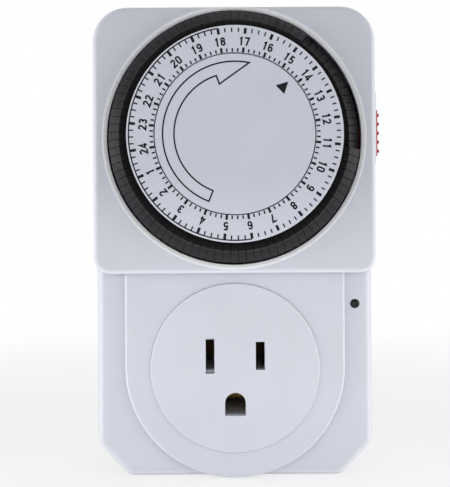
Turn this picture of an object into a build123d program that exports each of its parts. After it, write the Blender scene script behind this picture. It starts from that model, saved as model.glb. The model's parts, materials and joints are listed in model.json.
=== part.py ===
from build123d import *
from math import acos, cos, degrees, pi, radians, sin, sqrt, tan
import os

os.makedirs("parts", exist_ok=True)

# Plug-in mechanical 24-hour timer: a plug on its back, a grounded socket on its front, and a dial
# with 96 quarter-hour tappets that a small synchronous motor turns once a day.
#
# Millimetres. The origin lies on the flat rear face, midway between the plug blades and on the
# dial's axis. Seen from the front, +X is right and +Z is up. The front faces -Y, so places from
# back to front are given as a depth, and a depth of 10 is y = -10. Angles on the dial are clock
# angles: degrees clockwise from the top, as seen from the front.

# ------------------------------------------------------------------ driving dimensions
# Housing
body_width = 70.4
body_height = 118.4
rear_depth = 16.0  # rear face to the parting line
body_depth = 30.0  # rear face to the lower front face
head_step = 6.0  # how far the square head stands proud of the lower front
boss_step = 2.0  # how far the U-shaped socket boss stands proud of it
wall = 2.0
opening_radius = 31.68  # dial opening
top_rim = 0.97  # dial opening to the top of the head
bottom_rim = 2.17  # dial opening to the underside of the head
head_top_round = 8.7
head_bottom_round = 4.0
foot_chamfer_width = 8.0
foot_chamfer_height = 8.4
foot_round = 3.0
rear_edge_round = 1.5
head_edge_round = 1.4
lower_edge_round = 2.4
boss_edge_round = 0.9
bevel_width = 0.85  # bevel around the dial opening
bevel_depth = 0.5
lip_height = 1.5
lip_clearance = 0.1
seam_chamfer = 0.2  # on both covers' outer edges where they meet
lip_gap = 0.2  # end of the rear cover's tongue to the bottom of its groove

# Plug and socket, to the North American 15 A grounded pattern
blade_spacing = 12.7
blade_thickness = 1.52
blade_width = 6.35
blade_length = 17.3
blade_hole = 3.2
blade_hole_inset = 5.6  # from the blade's tip
blade_tip_chamfer = 0.45
blade_head_size = (4.4, 8.4)  # riveted head on the strap
blade_head = 0.8
ground_drop = 11.89  # ground pin below the blades
ground_pin_radius = 2.38
ground_pin_length = 20.8
ground_collar_radius = 2.8  # through the rear wall
ground_head_radius = 3.5
ground_tip_share = 0.8  # how much of the pin's radius its tip's fillet takes
hot_slot = (2.3, 7.1)
neutral_slot = (2.2, 8.84)
ground_slot_width = 5.24
ground_slot_drop = 3.2  # flat lower end below the round end's centre
socket_radius = 21.4
socket_proud = 0.8
socket_face = 3.0  # thickness of the socket's front wall
socket_gap = 0.06  # around the insert
socket_ledge = 1.4  # width of the ledge that seats the insert
socket_edge_round = 0.4
skirt_height = 5.0
skirt_wall = 1.5
pocket_wall = 1.0
pocket_room = 5.5  # chimneys in front of the straps
blade_pocket_width = 5.8
ground_pocket_width = 7.8
pocket_gap = 0.6  # above and below a contact in its chimney
ground_pocket_gap = 0.4
boss_radius = 27.9
slot_rise = 3.09  # hot and neutral slots above the middle of the socket
slit_clearance = 0.05  # around a blade where it passes the rear wall
tower_size = (5.0, 9.6)  # around a blade
ground_tower_radius = 4.0
post_size = 3.2
low_post_height = -26.0  # the neutral strap's middle post
ground_post_drop = 26.0  # the ground strap's middle post below the ground pin

# Socket contacts
clip_height = 3.2  # half of a contact's height along Z
clip_metal = 0.5
clip_root = 5.0  # straight part of the leaves
clip_grip = 23.5  # depth at which the leaves grip
clip_mouth = 27.4
blade_clip = (2.3, 1.15, 2.0)  # half widths at the root, the grip and the mouth
ground_clip = (3.3, 2.7, 3.2)

# Dial
dial_height = 13.15  # dial face in front of the lower front
dial_gap = 0.38  # dial drum inside the opening
scale_thickness = 1.2
scale_radius = 26.2
disc_radius = 19.35
disc_gap = 0.25  # fixed centre disc to the turning scale
disc_edge_round = 0.2
scale_edge_round = 0.3
drum_wall = 2.0
drum_floor = 2.0
drum_edge = 0.3  # stem to the inside of the gear ring
inner_ring = (0.5, 1.8)  # the drum's inner ring, outside the centre disc
spindle_radius = 3.5
hub_radius = 5.2
hub_wall = 1.0  # the drum's hub around the frame's
spindle_length = 8.5  # in front of the drum's rear face
key_size = 3.7  # square socket that keys the centre disc
key_depth = 3.5
key_clearance = 0.1
key_gap = 0.2
disc_boss_radius = 5.5
disc_screw_depth = 0.9  # screw hole beyond the key
running_clearance = 0.06
thrust_gap = 0.2

# Tappets
tappet_count = 96
tappets_per_hour = 4
tappet_travel = 2.5
tappet_thickness = 1.2
tappet_head_arc = 3.55  # degrees of dial that a head spans
tappet_clearance = 0.06
crest_radius = 28.4
crest_drop = 3.1  # crest of a raised tappet behind the dial face
ring_gap = 0.3
tappet_height = 3.7  # crest to the underside of the head
inner_slope = 1.1  # crest to the head's inner edge
outer_rim = 0.7  # straight outer edge
tappet_inset = 0.2  # inside the drum's edge
flange_thickness = 3.6
stem_inset = 0.4
stem_length = 2.0  # along the radius
hook_length = 1.2  # the foot's inward hook
hook_height = 0.8
hour_step = 360 / 24
first_hour = 17
first_tick_angle = 6.0  # clock angle of the first hour's tick
index_angle = 46.0  # clock angle of the index that the time is read at
hours_on = (11, 12, 13, 14)  # hours whose tappets are pushed in

# Gears
dial_teeth = 96
pinion_teeth = 10
wheel_teeth = 30
train_module = 0.5
pressure_angle = 25.0
addendum = 0.75  # of the module
dedendum = 1.0
backlash = 0.08  # taken off each tooth's thickness
dial_gear_width = 2.5
wheel_width = 1.6
gear_gap = 0.2  # between gears, and to the frame
wheel_gap = 0.4  # between the two wheels
gear_collar_radius = 1.3
axle_radius = 0.8
axle_hold = 0.02  # around an axle where the frame holds it
axle_head = 0.6
drive_gear_angle = 218.0  # clock angle of the drive gear around the dial
idler_direction = 98.0  # clock angle from the drive gear to the idler
motor_direction = 65.0  # clock angle from the idler to the motor's pinion

# Frame, motor and switch
frame_thickness = 2.0
frame_room = 7.9  # frame's front face behind the dial drum
frame_top_gap = 3.2  # below the top of the head
frame_side_gap = 4.7  # inside the sides of the body
frame_corner = 4.0
frame_tab = (8.4, 11.0)  # around a frame screw
frame_tab_round = 2.5
frame_tab_rise = 2.0
motor_radius = 15.5
motor_height = 10.0
motor_shell = 0.8
motor_gap = 2.6  # motor to the head of the hub screw
motor_angle = 167.3  # clock angle of the motor around the dial
motor_edge_round = 0.7
gearbox_height = 2.6
gearbox_plate = 1.0
rotor_radius = 6.4
rotor_gap = 0.3
coil_gap = 0.1
rotor_float = 0.5  # rotor to the can and to the gearbox
rotor_shaft = 0.75
shaft_float = 0.1
pinion_shaft = 1.2  # below the gearbox plate
pinion_hole = 1.7
switch_size = (6.4, 19.8, 10.2)
switch_rise = 0.9  # middle of the switch above its plunger
switch_edge_round = 0.6
terminal_pitch = 6.9
terminal_size = (3.2, 0.6)
terminal_gap = 1.0  # the unused terminal in front of the straps
plunger_radius = 1.0
plunger_round = 0.4
plunger_stroke = 2.4  # length inside the switch
plunger_bore = 4.0
plunger_gap = 0.5  # around the plunger in the frame
plunger_reach = 13.5  # plunger to the lever's pin
lever_length = 25.5
lever_width = 3.0
lever_thickness = 1.2
lever_room = 0.8  # lever to the frame
lever_rest = 0.2  # plunger to the lever
lever_pin_radius = 0.6
lever_barrel = 1.2
lever_edge_round = 0.3
nose_size = (1.5, 1.8)
nose_gap = 0.3  # nose to a pushed-in tappet's foot
tab_reach = 7.85  # middle of the side tab to the lever's pin
tab_width = 2.9
tab_length = 2.0
ear_radius = 1.6
ear_width = 1.2
ear_gap = 0.3
strap_width = 4.0
strap_thickness = 0.6
strap_depth = 6.0
strap_lap = 2.0  # strap past the middle of what it joins
load_strap_inset = 8.4  # from the side of the body

# Override slide
slide_length = 11.9
slide_width = 8.0
slide_drop = 4.27  # lower end below the dial axis
slide_back = 21.5  # depth of its rear edge
slide_travel = 2.4
slide_proud = 2.15
slide_gap = 0.3
pad_proud = 1.0
pad_margin = 2.6
rib_count = 5
rib_pitch = 2.3
rib_radius = 0.45
rib_inset = 0.6
slide_edge_round = 0.5
slide_flange = 1.1
slide_flange_gap = 0.2
slide_flange_margin = (1.2, 1.8)  # beyond the slot's travel
slide_flange_rise = 0.2
finger_start = 1.6  # beside the lever
finger_height = 2.0
finger_thickness = 1.4
finger_gap = 0.3  # below the lever's tab

# Screws and bosses
screw_radius = 1.2
screw_clearance = 0.05
screw_room = 0.2  # around a screw and its head in the rear cover
screw_head_radius = 2.4
screw_head_height = 1.8
screw_pocket_depth = 3.0
pillar_radius = 3.6
boss_post_radius = 2.8
screw_cross = 3.12  # length of each recess across the head
screw_slot = 0.7
screw_slot_depth = 1.1
screw_inset = (7.6, 7.25)  # top screws from the side and the top of the head
low_screw_inset = (11.2, 11.75)  # low screws from the side and the foot
frame_screw_inset = (11.2, 5.15)  # frame screws from the side and the head's underside
top_screw_bite = 5.5
low_screw_bite = 8.0
frame_screw_bite = 4.5
hub_screw_gap = 0.5  # short of the spindle's end

# Indicator
lamp_radius = 1.2
lens_flange = 0.7
lens_flange_height = 1.1
lens_proud = 0.3
lens_gap = 0.05
lens_round = 0.7
lamp_round = 0.5
lamp_tube_radius = 2.75
lamp_length = 9.0
lamp_gap = 0.15
lamp_side = 4.53  # from the side of the body
lamp_drop = 8.05  # below the head

# ------------------------------------------------------------------ places worked out from them
half_width = body_width / 2
head_top = opening_radius + top_rim
head_bottom = -(opening_radius + bottom_rim)
body_bottom = head_top - body_height
head_depth = body_depth + head_step
boss_depth = body_depth + boss_step
dial_depth = body_depth + dial_height

socket_height = body_bottom + boss_radius  # middle of the socket
slot_height = socket_height + slot_rise
ground_height = slot_height - ground_drop
blade_x = blade_spacing / 2

drum_radius = opening_radius - dial_gap
dial_module = drum_radius / (dial_teeth / 2 + addendum)
dial_pitch_radius = dial_module * dial_teeth / 2
drum_top = dial_depth - scale_thickness
crest_depth = dial_depth - crest_drop

tappet_inner = scale_radius + ring_gap
tappet_outer = drum_radius - tappet_inset
head_under = crest_depth - tappet_height
flange_top = head_under - tappet_travel - ring_gap
flange_back = flange_top - flange_thickness
stem_inner = tappet_inner + stem_inset
stem_outer = stem_inner + stem_length
foot_top = flange_back - thrust_gap
foot_back = foot_top - hook_height
pushed_foot_back = foot_back - tappet_travel
stem_radius = (stem_inner + stem_outer) / 2

frame_front = flange_back - frame_room
frame_back = frame_front - frame_thickness
hub_top = flange_back - thrust_gap
spindle_top = flange_back + spindle_length

screw_x = half_width - screw_inset[0]
top_screw_height = head_top - screw_inset[1]
low_screw_x = half_width - low_screw_inset[0]
low_screw_height = body_bottom + low_screw_inset[1]
frame_screw_x = half_width - frame_screw_inset[0]
frame_screw_height = head_bottom - frame_screw_inset[1]
lamp_x = half_width - lamp_side
lamp_height = head_bottom - lamp_drop

lever_x = stem_radius * sin(radians(index_angle))
nose_height = stem_radius * cos(radians(index_angle))
lever_pivot_height = nose_height - lever_length
lever_back = frame_front + lever_room
lever_front = lever_back + lever_thickness
lever_pivot_depth = (lever_back + lever_front) / 2
plunger_height = lever_pivot_height + plunger_reach
switch_height = plunger_height + switch_rise
switch_back = frame_back - switch_size[2]
tab_height = lever_pivot_height + tab_reach

slide_depth = slide_back + slide_width / 2
slide_low = -slide_drop
slide_high = slide_low + slide_length
slide_middle = (slide_low + slide_high) / 2

strap_front = strap_depth + strap_thickness


def at_depth(depth):
    """The plane parallel to the rear face at a depth, drawn on as seen from the front."""
    return Plane.XZ.offset(depth)


def clock_point(radius, angle):
    """X and Z of the point at a radius and clock angle around the dial's axis."""
    return radius * sin(radians(angle)), radius * cos(radians(angle))


def gear_plane(place, depth):
    """The plane at a depth with its origin on a gear's axis."""
    return at_depth(depth).shift_origin((place[0], -depth, place[1]))


def radial_plane(angle):
    """The plane through the dial's axis at a clock angle: local x is radius, local y is depth."""
    x, z = clock_point(1, angle)
    return Plane(origin=(0, 0, 0), x_dir=(x, 0, z), z_dir=(z, 0, -x))


def involute(angle):
    """The involute function of a pressure angle in radians."""
    return tan(angle) - angle


def gear_outline(teeth, module, phase, steps):
    """A gear's outline, drawn into the open sketch. phase is the clock angle of one tooth."""
    pitch = module * teeth / 2
    base = pitch * cos(radians(pressure_angle))
    root, tip = pitch - dedendum * module, pitch + addendum * module
    at_pitch = pi / (2 * teeth) - backlash / 2 / pitch + involute(radians(pressure_angle))
    flank = []
    for step in range(steps + 1):
        radius = root + (tip - root) * step / steps
        half = at_pitch - involute(acos(min(base / radius, 1)))
        flank.append((radius, degrees(half)))
    points = []
    for tooth in range(teeth):
        middle = phase + 360 / teeth * tooth
        points += [clock_point(radius, middle - half) for radius, half in flank]
        points += [clock_point(radius, middle + half) for radius, half in reversed(flank)]
    with BuildLine() as outline:
        Polyline(*points, close=True)
    make_face(outline.edges())


def meshing_phase(teeth, other_teeth, other_phase, direction):
    """The phase that puts a gear in mesh with another, which it lies in a direction from."""
    place = (direction - other_phase) * other_teeth / 360
    return direction + 180 - (0.5 - place) * 360 / teeth


def step_point(start, distance, direction):
    """The point at a distance and clock direction from another."""
    x, z = clock_point(distance, direction)
    return start[0] + x, start[1] + z


# ------------------------------------------------------------------ shared outlines
with BuildSketch() as body_shape:
    with BuildLine():
        FilletPolyline(
            (half_width, head_top),
            (-half_width, head_top),
            (-half_width, body_bottom + foot_chamfer_height),
            (-half_width + foot_chamfer_width, body_bottom),
            (half_width - foot_chamfer_width, body_bottom),
            (half_width, body_bottom + foot_chamfer_height),
            radius=[head_top_round] * 2 + [foot_round] * 4,
            close=True,
        )
    make_face()

with BuildSketch() as head_shape:
    with BuildLine():
        FilletPolyline(
            (half_width, head_top),
            (-half_width, head_top),
            (-half_width, head_bottom),
            (half_width, head_bottom),
            radius=[head_top_round] * 2 + [head_bottom_round] * 2,
            close=True,
        )
    make_face()

top_screws = [(-screw_x, top_screw_height), (screw_x, top_screw_height)]
low_screws = [(-low_screw_x, low_screw_height), (low_screw_x, low_screw_height)]
frame_posts = [(-frame_screw_x, frame_screw_height), (frame_screw_x, frame_screw_height)]

# ------------------------------------------------------------------ rear cover
tower_height = strap_depth - blade_head - wall
screw_passage = screw_radius + screw_room
strap_posts = [
    (0, ground_height),
    (0, -ground_drop - ground_post_drop),
    (-blade_x, slot_height),
    (-blade_x, low_post_height),
    (blade_x, slot_height),
]

with BuildPart() as rear_cover:
    with BuildSketch(at_depth(0)):
        add(body_shape.sketch_local)
    extrude(amount=rear_depth)
    fillet(rear_cover.edges().group_by(Axis.Y)[-1], rear_edge_round)
    chamfer(rear_cover.edges().group_by(Axis.Y)[0], seam_chamfer)
    with BuildSketch(at_depth(wall)):
        offset(body_shape.sketch_local, -wall)
    extrude(amount=rear_depth, mode=Mode.SUBTRACT)
    with BuildSketch(at_depth(wall)):  # tongue that enters the front cover
        offset(body_shape.sketch_local, -wall / 2 - lip_clearance)
        offset(body_shape.sketch_local, -wall, mode=Mode.SUBTRACT)
    extrude(amount=rear_depth + lip_height - wall)
    with BuildSketch(at_depth(wall)):  # towers around the blades and the ground pin
        with Locations((-blade_x, 0), (blade_x, 0)):
            Rectangle(*tower_size)
        with Locations((0, -ground_drop)):
            Circle(ground_tower_radius)
    extrude(amount=tower_height)
    with BuildSketch(at_depth(wall)):  # posts under the straps
        with Locations(*strap_posts):
            Rectangle(post_size, post_size)
    extrude(amount=strap_depth - wall)
    with BuildSketch(at_depth(wall)):
        with Locations(*top_screws):
            Circle(pillar_radius)
    extrude(amount=frame_back - wall)
    with BuildSketch(at_depth(wall)):
        with Locations(*low_screws):
            Circle(pillar_radius)
    extrude(amount=rear_depth - wall)
    with BuildSketch(at_depth(0)):
        with Locations(*top_screws, *low_screws):
            Circle(screw_passage)
    extrude(amount=frame_back, mode=Mode.SUBTRACT)
    with BuildSketch(at_depth(0)):
        with Locations(*top_screws, *low_screws):
            Circle(screw_head_radius + screw_room)
    extrude(amount=screw_pocket_depth, mode=Mode.SUBTRACT)
    with BuildSketch(at_depth(0)):
        with Locations((-blade_x, 0), (blade_x, 0)):
            Rectangle(blade_thickness + 2 * slit_clearance, blade_width + 2 * slit_clearance)
        with Locations((0, -ground_drop)):
            Circle(ground_collar_radius + slit_clearance)
    extrude(amount=strap_depth, mode=Mode.SUBTRACT)
rear_cover.part.label = "rear_cover"
export_step(rear_cover.part, "parts/rear_cover.step")

# ------------------------------------------------------------------ front cover
recess_radius = socket_radius + socket_gap
ledge_radius = socket_radius - socket_ledge
recess_depth = boss_depth + socket_proud - socket_face
slot_low = slide_low - slide_gap
slot_high = slide_high + slide_travel + slide_gap
lamp_bore = lamp_radius + lens_flange + lens_gap
dial_gear_back = flange_back - dial_gear_width

with BuildPart() as front_cover:
    with BuildSketch(at_depth(rear_depth)):
        add(body_shape.sketch_local)
    extrude(amount=body_depth - rear_depth)
    fillet(front_cover.edges().group_by(Axis.Y)[0], lower_edge_round)
    with BuildSketch(at_depth(rear_depth)):
        add(head_shape.sketch_local)
    extrude(amount=head_depth - rear_depth)
    fillet(front_cover.edges().group_by(Axis.Y)[0], head_edge_round)
    with BuildSketch(at_depth(rear_depth)):  # U-shaped boss around the socket
        with BuildLine():
            Line((-boss_radius, head_bottom + wall), (-boss_radius, socket_height))
            ThreePointArc((-boss_radius, socket_height), (0, body_bottom), (boss_radius, socket_height))
            Line((boss_radius, socket_height), (boss_radius, head_bottom + wall))
            Line((boss_radius, head_bottom + wall), (-boss_radius, head_bottom + wall))
        make_face()
    extrude(amount=boss_depth - rear_depth)
    boss_rim = front_cover.edges().filter_by_position(Axis.Y, -boss_depth, -boss_depth)
    fillet(boss_rim.filter_by(lambda edge: edge.center().Z < head_bottom - wall), boss_edge_round)
    chamfer(front_cover.edges().group_by(Axis.Y)[-1], seam_chamfer)
    with BuildSketch(Plane.YZ.offset(half_width)):  # raised pad around the override slide
        with Locations((-slide_depth, (slot_low + slot_high) / 2)):
            RectangleRounded(
                slide_width + 2 * pad_margin, slot_high - slot_low + 2 * pad_margin, pad_margin
            )
    extrude(amount=pad_proud, taper=45)
    with BuildSketch(at_depth(rear_depth)):
        offset(body_shape.sketch_local, -wall)
    extrude(amount=body_depth - wall - rear_depth, mode=Mode.SUBTRACT)
    with BuildSketch(at_depth(rear_depth)):
        offset(head_shape.sketch_local, -wall)
    extrude(amount=head_depth - wall - rear_depth, mode=Mode.SUBTRACT)
    with BuildSketch(at_depth(rear_depth)):  # groove for the rear cover's tongue
        offset(body_shape.sketch_local, -wall / 2)
    extrude(amount=lip_height + lip_gap, mode=Mode.SUBTRACT)
    with BuildSketch(at_depth(dial_gear_back)):  # dial opening
        Circle(opening_radius)
    extrude(amount=head_depth, mode=Mode.SUBTRACT)
    with BuildSketch(at_depth(head_depth - bevel_depth)):
        Circle(opening_radius)
    extrude(
        amount=bevel_depth,
        taper=degrees(-acos(bevel_depth / sqrt(bevel_depth**2 + bevel_width**2))),
        mode=Mode.SUBTRACT,
    )
    with BuildSketch(at_depth(frame_front)):
        with Locations(*top_screws):
            Circle(boss_post_radius)
    extrude(amount=head_depth - wall - frame_front)
    with BuildSketch(at_depth(frame_front)):
        with Locations(*frame_posts):
            Circle(boss_post_radius)
    extrude(amount=body_depth - wall - frame_front)
    with BuildSketch(at_depth(rear_depth)):
        with Locations(*low_screws):
            Circle(boss_post_radius)
    extrude(amount=body_depth - wall - rear_depth)
    with BuildSketch(at_depth(frame_front)):
        with Locations((lamp_x, lamp_height)):
            Circle(lamp_tube_radius)
    extrude(amount=body_depth - wall - frame_front)
    with BuildSketch(at_depth(rear_depth)):  # screw and lamp bores
        with Locations(*top_screws, *frame_posts, *low_screws):
            Circle(screw_radius + screw_clearance)
        with Locations((lamp_x, lamp_height)):
            Circle(lamp_bore)
    extrude(amount=body_depth - wall - rear_depth, mode=Mode.SUBTRACT)
    with BuildSketch(at_depth(rear_depth)):
        with Locations((lamp_x, lamp_height)):
            Circle(lamp_radius)
    extrude(amount=body_depth, mode=Mode.SUBTRACT)
    with BuildSketch(at_depth(rear_depth)):  # socket opening and the ledge that seats its insert
        with Locations((0, socket_height)):
            Circle(ledge_radius)
    extrude(amount=body_depth, mode=Mode.SUBTRACT)
    with BuildSketch(at_depth(recess_depth)):
        with Locations((0, socket_height)):
            Circle(recess_radius)
    extrude(amount=body_depth, mode=Mode.SUBTRACT)
    with BuildSketch(Plane.YZ.offset(half_width - wall)):  # slot for the override slide
        with Locations((-slide_depth, (slot_low + slot_high) / 2)):
            Rectangle(slide_width + 2 * slide_gap, slot_high - slot_low)
    extrude(amount=wall + pad_proud, mode=Mode.SUBTRACT)
front_cover.part.label = "front_cover"
export_step(front_cover.part, "parts/front_cover.step")

# ------------------------------------------------------------------ socket insert
pocket_back = strap_front + pocket_room
blade_pocket = (blade_pocket_width, 2 * (clip_height + pocket_gap))
ground_pocket = (ground_pocket_width, 2 * (clip_height + ground_pocket_gap))
insert_back = recess_depth
skirt_back = body_depth - wall - skirt_height

with BuildPart() as socket_insert:
    with BuildSketch(at_depth(insert_back)):
        with Locations((0, socket_height)):
            Circle(socket_radius)
    extrude(amount=socket_face)
    fillet(socket_insert.edges().group_by(Axis.Y)[0], socket_edge_round)
    with BuildSketch(at_depth(skirt_back)):  # skirt inside the opening
        with Locations((0, socket_height)):
            Circle(ledge_radius - socket_gap)
            Circle(ledge_radius - socket_gap - skirt_wall, mode=Mode.SUBTRACT)
    extrude(amount=insert_back - skirt_back)
    with BuildSketch(at_depth(pocket_back)):  # chimneys that house the contacts
        with Locations((-blade_x, slot_height), (blade_x, slot_height)):
            Rectangle(blade_pocket[0] + 2 * pocket_wall, blade_pocket[1] + 2 * pocket_wall)
        with Locations((0, ground_height)):
            Rectangle(ground_pocket[0] + 2 * pocket_wall, ground_pocket[1] + 2 * pocket_wall)
    extrude(amount=insert_back - pocket_back)
    with BuildSketch(at_depth(pocket_back)):
        with Locations((-blade_x, slot_height), (blade_x, slot_height)):
            Rectangle(*blade_pocket)
        with Locations((0, ground_height)):
            Rectangle(*ground_pocket)
    extrude(amount=insert_back - pocket_back, mode=Mode.SUBTRACT)
    with BuildSketch(at_depth(insert_back)):
        with Locations((-blade_x, slot_height)):
            Rectangle(*neutral_slot)
        with Locations((blade_x, slot_height)):
            Rectangle(*hot_slot)
        with Locations((0, ground_height)):
            Circle(ground_slot_width / 2)
        with Locations((0, ground_height - ground_slot_drop / 2)):
            Rectangle(ground_slot_width, ground_slot_drop)
    extrude(amount=socket_face, mode=Mode.SUBTRACT)
socket_insert.part.label = "socket_insert"
export_step(socket_insert.part, "parts/socket_insert.step")

# ------------------------------------------------------------------ plug blades and ground pin
for name, side in (("neutral_blade", -1), ("hot_blade", 1)):
    with BuildPart() as blade:
        with BuildSketch(at_depth(-blade_length)):
            with Locations((side * blade_x, 0)):
                Rectangle(blade_thickness, blade_width)
        extrude(amount=blade_length + strap_depth - blade_head)
        chamfer(blade.edges().group_by(Axis.Y)[-1], blade_tip_chamfer)
        with BuildSketch(Plane.YZ.offset(side * blade_x - blade_thickness)):
            with Locations((blade_length - blade_hole_inset, 0)):
                Circle(blade_hole / 2)
        extrude(amount=2 * blade_thickness, mode=Mode.SUBTRACT)
        with BuildSketch(at_depth(strap_depth - blade_head)):
            with Locations((side * blade_x, 0)):
                Rectangle(*blade_head_size)
        extrude(amount=blade_head)
    blade.part.label = name
    export_step(blade.part, f"parts/{name}.step")

with BuildPart() as ground_pin:
    with BuildSketch(at_depth(-ground_pin_length)):
        with Locations((0, -ground_drop)):
            Circle(ground_pin_radius)
    extrude(amount=ground_pin_length)
    fillet(ground_pin.edges().group_by(Axis.Y)[-1], ground_pin_radius * ground_tip_share)
    with BuildSketch(at_depth(0)):
        with Locations((0, -ground_drop)):
            Circle(ground_collar_radius)
    extrude(amount=strap_depth - blade_head)
    with BuildSketch(at_depth(strap_depth - blade_head)):
        with Locations((0, -ground_drop)):
            Circle(ground_head_radius)
    extrude(amount=blade_head)
ground_pin.part.label = "ground_pin"
export_step(ground_pin.part, "parts/ground_pin.step")

# ------------------------------------------------------------------ socket contacts
def clip_outline(base, pinch, flare):
    """A two-leaf spring clip, seen across its leaves: half widths at its root, grip and mouth."""
    half = clip_metal / 2
    outer = [
        (base + half, strap_front),
        (base + half, strap_front + clip_root),
        (pinch + half, clip_grip),
        (flare + half, clip_mouth),
    ]
    inner = [
        (flare - half, clip_mouth),
        (pinch - half, clip_grip),
        (base - half, strap_front + clip_root),
        (base - half, strap_front + clip_metal),
    ]
    right = outer + inner
    left = [(-x, y) for x, y in reversed(right)]
    with BuildLine() as outline:
        Polyline(*right, *left, close=True)
    make_face(outline.edges())


clips = (
    ("neutral_contact", -blade_x, slot_height, blade_clip),
    ("hot_contact", blade_x, slot_height, blade_clip),
    ("ground_contact", 0, ground_height, ground_clip),
)
for name, x, z, widths in clips:
    with BuildPart() as clip:
        with BuildSketch(Plane(origin=(x, 0, z), x_dir=(1, 0, 0), z_dir=(0, 0, -1))):
            clip_outline(*widths)
        extrude(amount=clip_height, both=True)
    clip.part.label = name
    export_step(clip.part, f"parts/{name}.step")

# ------------------------------------------------------------------ straps
low_terminal = switch_height - terminal_pitch
top_terminal = switch_height + terminal_pitch
load_x = half_width - load_strap_inset
routes = {
    "ground_strap": [
        (0, -ground_drop + ground_head_radius),
        (0, ground_height - clip_height),
    ],
    "neutral_strap": [
        (-blade_x, blade_head_size[1] / 2),
        (-blade_x, slot_height - clip_height),
    ],
    "line_strap": [(blade_x - strap_lap, low_terminal), (lever_x + strap_lap, low_terminal)],
    "load_strap": [
        (lever_x - strap_lap, top_terminal),
        (load_x, top_terminal),
        (load_x, slot_height),
        (blade_x - strap_lap, slot_height),
    ],
}
for name, route in routes.items():
    with BuildPart() as strap:
        with BuildSketch(at_depth(strap_depth)):
            with BuildLine():
                Polyline(*route)
            trace(line_width=strap_width)
        extrude(amount=strap_thickness)
    strap.part.label = name
    export_step(strap.part, f"parts/{name}.step")

# ------------------------------------------------------------------ gear train layout
drive_place = clock_point(dial_pitch_radius + dial_module * pinion_teeth / 2, drive_gear_angle)
train_distance = train_module * (wheel_teeth + pinion_teeth) / 2
idler_place = step_point(drive_place, train_distance, idler_direction)
pinion_place = step_point(idler_place, train_distance, motor_direction)
motor_place = clock_point(motor_radius + screw_head_radius + motor_gap, motor_angle)

dial_phase = first_tick_angle
drive_phase = meshing_phase(pinion_teeth, dial_teeth, dial_phase, drive_gear_angle)
idler_phase = meshing_phase(pinion_teeth, wheel_teeth, drive_phase, idler_direction)
motor_phase = meshing_phase(pinion_teeth, wheel_teeth, idler_phase, motor_direction)
idler_back = frame_front + gear_gap
idler_wheel_back = idler_back + gear_gap
idler_wheel_front = idler_wheel_back + wheel_width
drive_wheel_back = idler_wheel_front + wheel_gap
drive_wheel_front = drive_wheel_back + wheel_width
drive_front = flange_back - gear_gap
axle_front = drive_front + gear_gap

# ------------------------------------------------------------------ mechanism frame
frame_top = head_top - frame_top_gap
ear_reach = lever_width / 2 + ear_gap + ear_width
frame_hole = screw_radius + 2 * screw_clearance

with BuildPart() as mechanism_frame:
    with BuildSketch(at_depth(frame_back)):
        with Locations((0, (frame_top + head_bottom) / 2)):
            RectangleRounded(body_width - 2 * frame_side_gap, frame_top - head_bottom, frame_corner)
        with Locations(*[(x, z + frame_tab_rise) for x, z in frame_posts]):
            RectangleRounded(*frame_tab, frame_tab_round)
    extrude(amount=frame_thickness)
    with BuildSketch(at_depth(frame_front)):
        Circle(hub_radius)
    extrude(amount=hub_top - frame_front)
    with BuildSketch(at_depth(frame_front)):
        Circle(spindle_radius)
    extrude(amount=spindle_top - frame_front)
    with BuildSketch(Plane.YZ.offset(lever_x)):  # ears that hold the lever's pin
        with Locations((-lever_pivot_depth, lever_pivot_height)):
            Circle(ear_radius)
        with Locations((-(lever_pivot_depth + frame_front) / 2, lever_pivot_height)):
            Rectangle(lever_pivot_depth - frame_front, 2 * ear_radius)
    extrude(amount=ear_reach, both=True)
    with BuildSketch(Plane.YZ.offset(lever_x)):
        with Locations((-(frame_front + 2 * ear_radius), lever_pivot_height)):
            Rectangle(4 * ear_radius, 4 * ear_radius)
    extrude(amount=lever_width / 2 + ear_gap, both=True, mode=Mode.SUBTRACT)
    with BuildSketch(Plane.YZ.offset(lever_x)):
        with Locations((-lever_pivot_depth, lever_pivot_height)):
            Circle(lever_pin_radius + axle_hold)
    extrude(amount=ear_reach, both=True, mode=Mode.SUBTRACT)
    with BuildSketch(at_depth(frame_back)):  # holes through the plate
        with Locations(*top_screws, *frame_posts):
            Circle(frame_hole)
        with Locations(idler_place, drive_place):
            Circle(axle_radius + axle_hold)
        with Locations(pinion_place):
            Circle(pinion_hole)
        with Locations((lever_x, plunger_height)):
            Circle(plunger_radius + plunger_gap)
    extrude(amount=frame_thickness, mode=Mode.SUBTRACT)
    with BuildSketch(at_depth(frame_back)):
        Circle(screw_passage)
    extrude(amount=spindle_top - frame_back, mode=Mode.SUBTRACT)
    with BuildSketch(at_depth(spindle_top - key_depth)):
        Rectangle(key_size, key_size)
    extrude(amount=key_depth, mode=Mode.SUBTRACT)
mechanism_frame.part.label = "mechanism_frame"
export_step(mechanism_frame.part, "parts/mechanism_frame.step")

# ------------------------------------------------------------------ fixed centre disc and hub screw
key_back = spindle_top - key_depth + key_gap

with BuildPart() as centre_disc:
    with BuildSketch(at_depth(drum_top)):
        Circle(disc_radius)
    extrude(amount=scale_thickness)
    fillet(centre_disc.edges().group_by(Axis.Y)[0], disc_edge_round)
    with BuildSketch(at_depth(spindle_top)):
        Circle(disc_boss_radius)
    extrude(amount=drum_top - spindle_top)
    with BuildSketch(at_depth(key_back)):
        Rectangle(key_size - key_clearance, key_size - key_clearance)
    extrude(amount=spindle_top - key_back)
    with BuildSketch(at_depth(key_back)):
        Circle(screw_radius + screw_clearance)
    extrude(amount=spindle_top - key_back + disc_screw_depth, mode=Mode.SUBTRACT)
centre_disc.part.label = "centre_disc"
export_step(centre_disc.part, "parts/centre_disc.step")


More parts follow.
